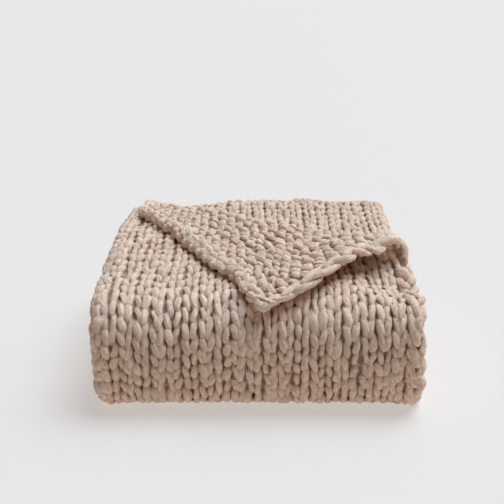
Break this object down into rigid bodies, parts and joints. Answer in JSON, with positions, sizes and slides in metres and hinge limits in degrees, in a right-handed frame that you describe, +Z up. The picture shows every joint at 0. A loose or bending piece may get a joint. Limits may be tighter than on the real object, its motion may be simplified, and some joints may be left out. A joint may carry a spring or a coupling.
{
  "type": "folded throw blanket",
  "caption": "Chunky stockinette-knit throw, folded into a neat stack of layers with the loose top corner turned forward to show its other side.",
  "frame": {"origin": "centre of the bounding box on X and Y, on the surface the throw lies on", "axes": "X across the folded throw to its free selvedge, Y from the rounded front fold to the loose ends at the back, Z up"},
  "size_m": [0.4276, 0.3946, 0.1911],
  "materials": {
    "knit_wool": "soft matt, heathered beige thick-and-thin wool yarn"
  },
  "bodies": {
    "root": {"knit_throw": "knit_wool"}
  },
  "joints": []
}
